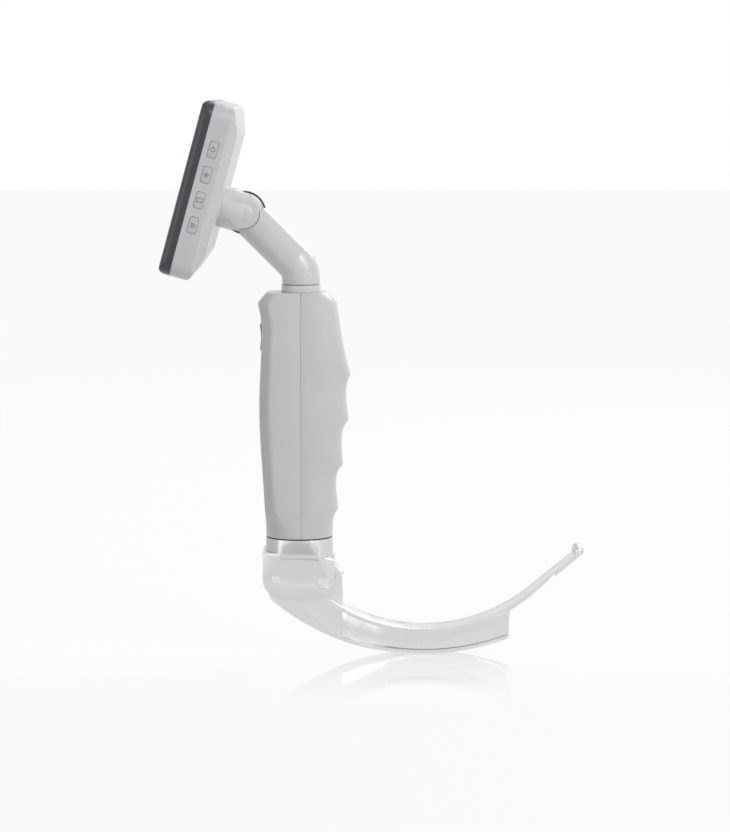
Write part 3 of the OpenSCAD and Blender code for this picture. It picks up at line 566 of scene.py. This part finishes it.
class Bench:
    """The operations that every piece goes through."""

    @staticmethod
    def deselect() -> None:
        """Deselects all objects."""
        bpy.ops.object.select_all(action="DESELECT")

    @staticmethod
    def take(piece: bpy.types.Object) -> None:
        """Makes one piece the only selected and active object."""
        Bench.deselect()
        piece.select_set(True)
        bpy.context.view_layer.objects.active = piece

    @staticmethod
    def edit(piece: bpy.types.Object, *steps: Callable[[], Any]) -> None:
        """Runs steps in edit mode with the whole mesh selected.

        Args:
            piece: The object.
            *steps: Functions called in order.
        """
        Bench.take(piece)
        bpy.ops.object.mode_set(mode="EDIT")
        bpy.ops.mesh.select_all(action="SELECT")
        for step in steps:
            step()
        bpy.ops.object.mode_set(mode="OBJECT")

    @staticmethod
    def soften(
        piece: bpy.types.Object, edge: float, angle: float = SHARP_ANGLE, segments: int = 2
    ) -> None:
        """Rounds the sharp edges of a piece and smooths its shading.

        Args:
            piece: The object.
            edge: Width of the rounding in millimetres, 0 for none.
            angle: Edges sharper than this many degrees are rounded.
            segments: Segments in a rounding.
        """
        Bench.take(piece)
        if edge > 0:
            bevel = piece.modifiers.new("soft_edge", "BEVEL")
            bevel.width = edge * MM
            bevel.segments = segments
            bevel.limit_method = "ANGLE"
            bevel.angle_limit = math.radians(angle)
            bevel.use_clamp_overlap = True
            bpy.ops.object.modifier_apply(modifier=bevel.name)
        bpy.ops.object.shade_smooth_by_angle(angle=math.radians(angle))

    @staticmethod
    def settle(piece: bpy.types.Object) -> None:
        """Puts the object's place into its mesh."""
        Bench.take(piece)
        bpy.ops.object.transform_apply(location=True, rotation=True, scale=True)

    @staticmethod
    def dress(piece: bpy.types.Object, finish: Finish) -> None:
        """Gives a piece one finish."""
        piece.data.materials.clear()
        piece.data.materials.append(finish.material())

    @staticmethod
    def cast(
        node: str, body: Body, finish: Finish, edge: float = 0.2, angle: float = SHARP_ANGLE
    ) -> bpy.types.Object:
        """A finished skin over a CAD node: merged, edges rounded, smoothly shaded.

        Args:
            node: The CAD node.
            body: The body it rides on.
            finish: Its finish.
            edge: Width of the edge rounding in millimetres.
            angle: Edges sharper than this many degrees are rounded.

        Returns:
            The new piece, which replaces the node.
        """
        piece = bpy.data.objects.new(node + "_skin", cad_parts[node].data.copy())
        bpy.context.scene.collection.objects.link(piece)
        Bench.edit(
            piece,
            bpy.ops.mesh.customdata_custom_splitnormals_clear,
            lambda: bpy.ops.mesh.remove_doubles(threshold=MERGE_DISTANCE),
            lambda: bpy.ops.mesh.dissolve_limited(angle_limit=math.radians(FLAT_ANGLE)),
        )
        Bench.soften(piece, edge, angle)
        Bench.dress(piece, finish)
        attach(piece, body.value)
        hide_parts(node)
        LOG.info("cast %s: %d faces", node, len(piece.data.polygons))
        return piece

    @staticmethod
    def finish_nodes(nodes: Dict[str, Finish]) -> None:
        """Gives CAD nodes that keep their own mesh a finish.

        Args:
            nodes: The finish of each node.
        """
        for name, finish in nodes.items():
            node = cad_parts[name]
            node.data.materials.clear()
            node.data.materials.append(finish.material())
            LOG.info("finished %s", name)


# ---------------------------------------------------------------------------------------------
# Sub-assemblies
# ---------------------------------------------------------------------------------------------


@dataclass
class Grip:
    """The two moulded shells, the power key and what is inside."""

    shell_edge: float = 0.25
    key_edge: float = 0.35

    def build(self) -> None:
        """Makes the grip's pieces."""
        for node in ("handle_rear_shell", "handle_front_shell"):
            Bench.cast(node, Body.HANDLE, Finishes.GRIP, self.shell_edge, 38.0)
        Bench.cast("power_button", Body.POWER_KEY, Finishes.POWER_KEY, self.key_edge, 30.0)
        Bench.cast("base_gasket", Body.HANDLE, Finishes.SEAL, 0.0)
        Bench.finish_nodes(
            {
                "power_switch": Finishes.NYLON,
                "handle_board": Finishes.BOARD,
                "battery_cradle": Finishes.DARK_PARTS,
                "battery": Finishes.CELL,
                "battery_contact": Finishes.BRASS,
                "battery_spring": Finishes.BRASS,
                "collar_nut": Finishes.BRASS,
            }
        )


@dataclass
class Neck:
    """Swivel collar, bent neck and the dark friction discs of the tilt joint."""

    edge: float = 0.25

    def build(self) -> None:
        """Makes the neck's pieces."""
        Bench.cast("swivel_collar", Body.HANDLE, Finishes.NECK, self.edge)
        Bench.cast("neck_arm", Body.NECK, Finishes.NECK, self.edge)
        Bench.finish_nodes(
            {
                "tilt_washers": Finishes.NYLON,
                "swivel_washer": Finishes.NYLON,
                "swivel_retainer": Finishes.POLISHED,
            }
        )


class Icon(Enum):
    """Generic marks on the screen's keys."""

    POWER = "power"
    RECORD = "record"
    PICTURE = "picture"
    MENU = "menu"


@dataclass
class Screen:
    """The tilting screen: housing, bezel, glass, keys with their marks, and the knuckle.

    Widths of edges, the ink and the marks are in millimetres, the lean in degrees.
    """

    case_edge: float = 0.5
    bezel_edge: float = 0.35
    key_edge: float = 0.18
    lean: float = 15.4
    ink: float = 0.04
    ink_edge: float = 0.01
    line: float = 0.28
    mark: float = 1.9
    icons: Tuple[Icon, ...] = (Icon.POWER, Icon.RECORD, Icon.PICTURE, Icon.MENU)

    def build(self) -> None:
        """Makes the screen's pieces."""
        Bench.cast("monitor_shell", Body.SCREEN, Finishes.SCREEN_CASE, self.case_edge, 20.0)
        Bench.cast("bezel", Body.SCREEN, Finishes.BEZEL, self.bezel_edge, 30.0)
        Bench.cast("screen_glass", Body.SCREEN, Finishes.GLASS, 0.25)
        Bench.cast("tilt_knuckle", Body.SCREEN, Finishes.NECK, 0.25)
        Bench.cast("charge_socket", Body.SCREEN, Finishes.NYLON, 0.15)
        Bench.cast("tilt_pin", Body.SCREEN, Finishes.POLISHED, 0.15)
        keys = (Body.KEY_1, Body.KEY_2, Body.KEY_3, Body.KEY_4)
        for number, (body, icon) in enumerate(zip(keys, self.icons), start=1):
            node = f"screen_button_{number}"
            Bench.cast(node, body, Finishes.KEYS, self.key_edge)
            self.print_icon(node, body, icon)
        Bench.finish_nodes(
            {
                "lcd_panel": Finishes.DARK_PARTS,
                "monitor_board": Finishes.BOARD,
                "button_board": Finishes.BOARD,
                "bezel_screws": Finishes.POLISHED,
                "knuckle_screws": Finishes.POLISHED,
            }
        )

    def print_icon(self, node: str, body: Body, icon: Icon) -> None:
        """Prints one generic mark in the middle of a key's face.

        Args:
            node: The key's CAD node.
            body: The key's body.
            icon: Which mark.
        """
        low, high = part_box(node)
        middle = Vector(((low.x + high.x) / 2, low.y, (low.z + high.z) / 2))
        strokes = self.strokes(icon)
        Bench.deselect()
        for part in strokes:
            part.select_set(True)
        bpy.context.view_layer.objects.active = strokes[0]
        if len(strokes) > 1:
            bpy.ops.object.join()
        piece = bpy.context.view_layer.objects.active
        piece.name = node + "_mark"
        piece.data.transform(Matrix.Rotation(math.radians(90), 4, "X"))
        piece.data.transform(Matrix.Rotation(math.radians(self.lean), 4, "Y"))
        piece.data.transform(Matrix.Translation(middle))
        Bench.dress(piece, Finishes.ICON)
        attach(piece, body.value)
        LOG.info("printed %s", piece.name)

    def strokes(self, icon: Icon) -> List[bpy.types.Object]:
        """The loose strokes of one mark, drawn flat about the origin."""
        if icon is Icon.POWER:
            return [self.ring(0.5), self.stroke((0.0, 0.25), (0.0, 0.75))]
        if icon is Icon.RECORD:
            return [self.ring(0.5), self.disc(0.22)]
        if icon is Icon.PICTURE:
            return self.frame_strokes(0.62, 0.45)
        return [self.stroke((-0.5, y), (0.5, y)) for y in (-0.35, 0.0, 0.35)]

    def ring(self, radius: float) -> bpy.types.Object:
        """A flat ring, radius as a share of the mark's size."""
        Bench.deselect()
        bpy.ops.mesh.primitive_torus_add(
            major_radius=radius * self.mark * MM,
            minor_radius=self.line / 2 * MM,
            major_segments=32,
            minor_segments=6,
        )
        ring = bpy.context.object
        Bench.edit(ring, lambda: bpy.ops.transform.resize(value=(1, 1, self.ink / self.line)))
        return ring

    def disc(self, radius: float) -> bpy.types.Object:
        """A flat disc, radius as a share of the mark's size."""
        Bench.deselect()
        bpy.ops.mesh.primitive_cylinder_add(
            vertices=24, radius=radius * self.mark * MM, depth=self.ink * MM
        )
        disc = bpy.context.object
        Bench.soften(disc, self.ink_edge)
        return disc

    def stroke(self, start: Tuple[float, float], end: Tuple[float, float]) -> bpy.types.Object:
        """A straight stroke between two points given as shares of the mark's size."""
        a = Vector((*start, 0.0)) * self.mark * MM
        b = Vector((*end, 0.0)) * self.mark * MM
        Bench.deselect()
        bpy.ops.mesh.primitive_cube_add(size=1.0)
        bar = bpy.context.object
        run, wide, thick = b - a, self.line * MM, self.ink * MM
        bar.data.transform(Matrix.Diagonal((run.length + wide, wide, thick, 1.0)))
        bar.data.transform(Matrix.Rotation(math.atan2(run.y, run.x), 4, "Z"))
        bar.data.transform(Matrix.Translation((a + b) / 2))
        Bench.soften(bar, self.ink_edge)
        return bar

    def frame_strokes(self, wide: float, high: float) -> List[bpy.types.Object]:
        """Four strokes round a rectangle, sizes as shares of the mark's size."""
        corners = [(-wide, -high), (wide, -high), (wide, high), (-wide, high)]
        return [self.stroke(corners[i], corners[(i + 1) % 4]) for i in range(4)]


@dataclass
class MetalBase:
    """The blasted base with its polished pins and the contact inside."""

    edge: float = 0.5
    pin_edge: float = 0.12

    def build(self) -> None:
        """Makes the base's pieces."""
        Bench.cast("base_block", Body.HANDLE, Finishes.BASE, self.edge, 34.0)
        for node in ("hinge_pin", "stop_pin"):
            Bench.cast(node, Body.HANDLE, Finishes.POLISHED, self.pin_edge, 12.0)
        Bench.finish_nodes(
            {
                "base_screws": Finishes.POLISHED,
                "contact_pin": Finishes.BRASS,
                "contact_insulator": Finishes.NYLON,
            }
        )


@dataclass
class Blade:
    """The folding blade with its camera and the spring plunger."""

    edge: float = 0.35

    def build(self) -> None:
        """Makes the blade's pieces."""
        Bench.cast("blade", Body.BLADE, Finishes.BLADE, self.edge, 34.0)
        Bench.cast("channel_cover", Body.BLADE, Finishes.BLADE, 0.1)
        Bench.cast("camera_window", Body.BLADE, Finishes.LENS, 0.1)
        Bench.cast("led_lens", Body.BLADE, Finishes.LENS, 0.1)
        Bench.cast("plunger", Body.PLUNGER, Finishes.POLISHED, 0.0)
        Bench.finish_nodes(
            {
                "hinge_bush": Finishes.BRASS,
                "contact_pad": Finishes.BRASS,
                "plunger_spring": Finishes.POLISHED,
                "camera_module": Finishes.NYLON,
            }
        )


# ---------------------------------------------------------------------------------------------
# Stage
# ---------------------------------------------------------------------------------------------


@dataclass(frozen=True)
class Lamp:
    """A square softbox: its place and side in metres, its power in watts."""

    name: str
    place: Point
    side: float
    power: float


@dataclass
class Studio:
    """Pale floor, white world, soft lamps and the camera. Lengths in metres."""

    distance: float = 1.275
    pitch: float = 6.75
    lens: float = 119.0
    sensor: float = 36.0
    clip: Tuple[float, float] = (0.05, 20.0)
    aim: Point = (0.0295, 0.0, -0.0007)
    ambient: float = 0.2
    shadow: float = 0.1
    floor_size: float = 12.0
    floor_drop: float = 0.0002
    floor_colour: Colour = (0.85, 0.85, 0.85)
    mirror: float = 0.42
    mirror_reach: float = 0.13
    mirror_full: float = 0.01
    mirror_roughness: float = 0.04
    lamps: Tuple[Lamp, ...] = (
        Lamp("key", (0.85, -0.8, 0.75), 0.7, 9.0),
        Lamp("fill", (-0.9, -0.9, 0.3), 0.9, 2.2),
        Lamp("rim", (0.5, 0.8, 0.7), 0.6, 5.0),
    )

    def build(self) -> None:
        """Sets the stage, lamps, world and camera."""
        self.floor()
        self.world()
        for lamp in self.lamps:
            self.hang(lamp)
        self.camera()

    def floor(self) -> None:
        """A pale floor under the lowest point of the object, a little polished behind it."""
        Bench.deselect()
        bpy.ops.mesh.primitive_plane_add(size=self.floor_size)
        floor = bpy.context.object
        floor.name = "studio_floor"
        floor.location.z = CAD_BOX[0][2] - self.floor_drop
        Bench.settle(floor)
        g = Graph("floor_white")
        seen = self.seen(g)
        glow = g.tree.nodes.new("ShaderNodeEmission")
        g.put(glow, "Color", WHITE)
        matt = g.tree.nodes.new("ShaderNodeBsdfDiffuse")
        g.put(matt, "Color", self.floor_colour)
        sheen = g.tree.nodes.new("ShaderNodeBsdfGlossy")
        g.put(sheen, "Color", WHITE)
        g.put(sheen, "Roughness", self.mirror_roughness)
        depth = g.node("ShaderNodeSeparateXYZ", {}, {0: g.coords()}, "Y")
        lit = self.mix_shaders(g, seen * (1.0 - self.shadow), matt, glow)
        mirror = depth.ramp(-self.mirror_reach, self.mirror_full, 0.0, self.mirror)
        polished = self.mix_shaders(g, seen * mirror, lit, sheen)
        g.tree.links.new(polished.outputs[0], g.output.inputs["Surface"])
        floor.data.materials.append(g.material)

    @staticmethod
    def seen(g: Graph) -> Wire:
        """1 for camera, glossy and transmission rays, else 0."""
        kinds = ("Camera", "Glossy", "Transmission")
        paths = [g.node("ShaderNodeLightPath", out=f"Is {kind} Ray") for kind in kinds]
        return (paths[0] + paths[1] + paths[2]).at_most(1.0)

    @staticmethod
    def mix_shaders(g: Graph, mask: Wire, a: bpy.types.Node, b: bpy.types.Node) -> bpy.types.Node:
        """Mixes two shaders by a mask."""
        made = g.tree.nodes.new("ShaderNodeMixShader")
        g.put(made, 0, mask)
        g.tree.links.new(a.outputs[0], made.inputs[1])
        g.tree.links.new(b.outputs[0], made.inputs[2])
        return made

    def world(self) -> None:
        """A white world to the eye and in reflections, and a softer one as a light."""
        world = bpy.data.worlds.new("studio_world")
        bpy.context.scene.world = world
        world.use_nodes = True
        tree = world.node_tree
        tree.nodes.clear()
        path = tree.nodes.new("ShaderNodeLightPath")
        mask = path.outputs["Is Camera Ray"]
        for kind in ("Is Glossy Ray", "Is Transmission Ray"):
            either = tree.nodes.new("ShaderNodeMath")
            either.operation = "MAXIMUM"
            tree.links.new(mask, either.inputs[0])
            tree.links.new(path.outputs[kind], either.inputs[1])
            mask = either.outputs[0]
        light = tree.nodes.new("ShaderNodeBackground")
        white = tree.nodes.new("ShaderNodeBackground")
        for shader, strength in ((light, self.ambient), (white, 1.0)):
            shader.inputs["Color"].default_value = (*WHITE, 1.0)
            shader.inputs["Strength"].default_value = strength
        mix = tree.nodes.new("ShaderNodeMixShader")
        out = tree.nodes.new("ShaderNodeOutputWorld")
        tree.links.new(mask, mix.inputs[0])
        tree.links.new(light.outputs[0], mix.inputs[1])
        tree.links.new(white.outputs[0], mix.inputs[2])
        tree.links.new(mix.outputs[0], out.inputs["Surface"])

    def hang(self, lamp: Lamp) -> None:
        """Hangs a softbox so that it faces the object.

        Args:
            lamp: The softbox.
        """
        data = bpy.data.lights.new(lamp.name, "AREA")
        data.size = lamp.side
        data.energy = lamp.power
        hung = bpy.data.objects.new(lamp.name, data)
        bpy.context.scene.collection.objects.link(hung)
        hung.location = lamp.place
        sight = Vector(self.aim) - Vector(lamp.place)
        hung.rotation_euler = sight.to_track_quat("-Z", "Y").to_euler()

    def camera(self) -> None:
        """The camera, a little above the screen and looking down at the grip."""
        data = bpy.data.cameras.new("camera")
        data.lens = self.lens
        data.sensor_width = self.sensor
        data.clip_start, data.clip_end = self.clip
        camera = bpy.data.objects.new("camera", data)
        bpy.context.scene.collection.objects.link(camera)
        tilt = math.radians(self.pitch)
        backwards = Vector((0.0, -math.cos(tilt), math.sin(tilt)))
        camera.location = Vector(self.aim) + backwards * self.distance
        camera.rotation_euler = (math.radians(90.0) - tilt, 0.0, 0.0)
        bpy.context.scene.camera = camera


def main() -> None:
    """Builds the sub-assemblies in order."""
    logging.basicConfig(level=logging.INFO, format="%(message)s")
    for part in (Grip(), Neck(), Screen(), MetalBase(), Blade(), Studio()):
        LOG.info("building %s", type(part).__name__)
        part.build()
    scene = bpy.context.scene
    scene.view_settings.view_transform = "Standard"


if __name__ == "__main__":
    main()
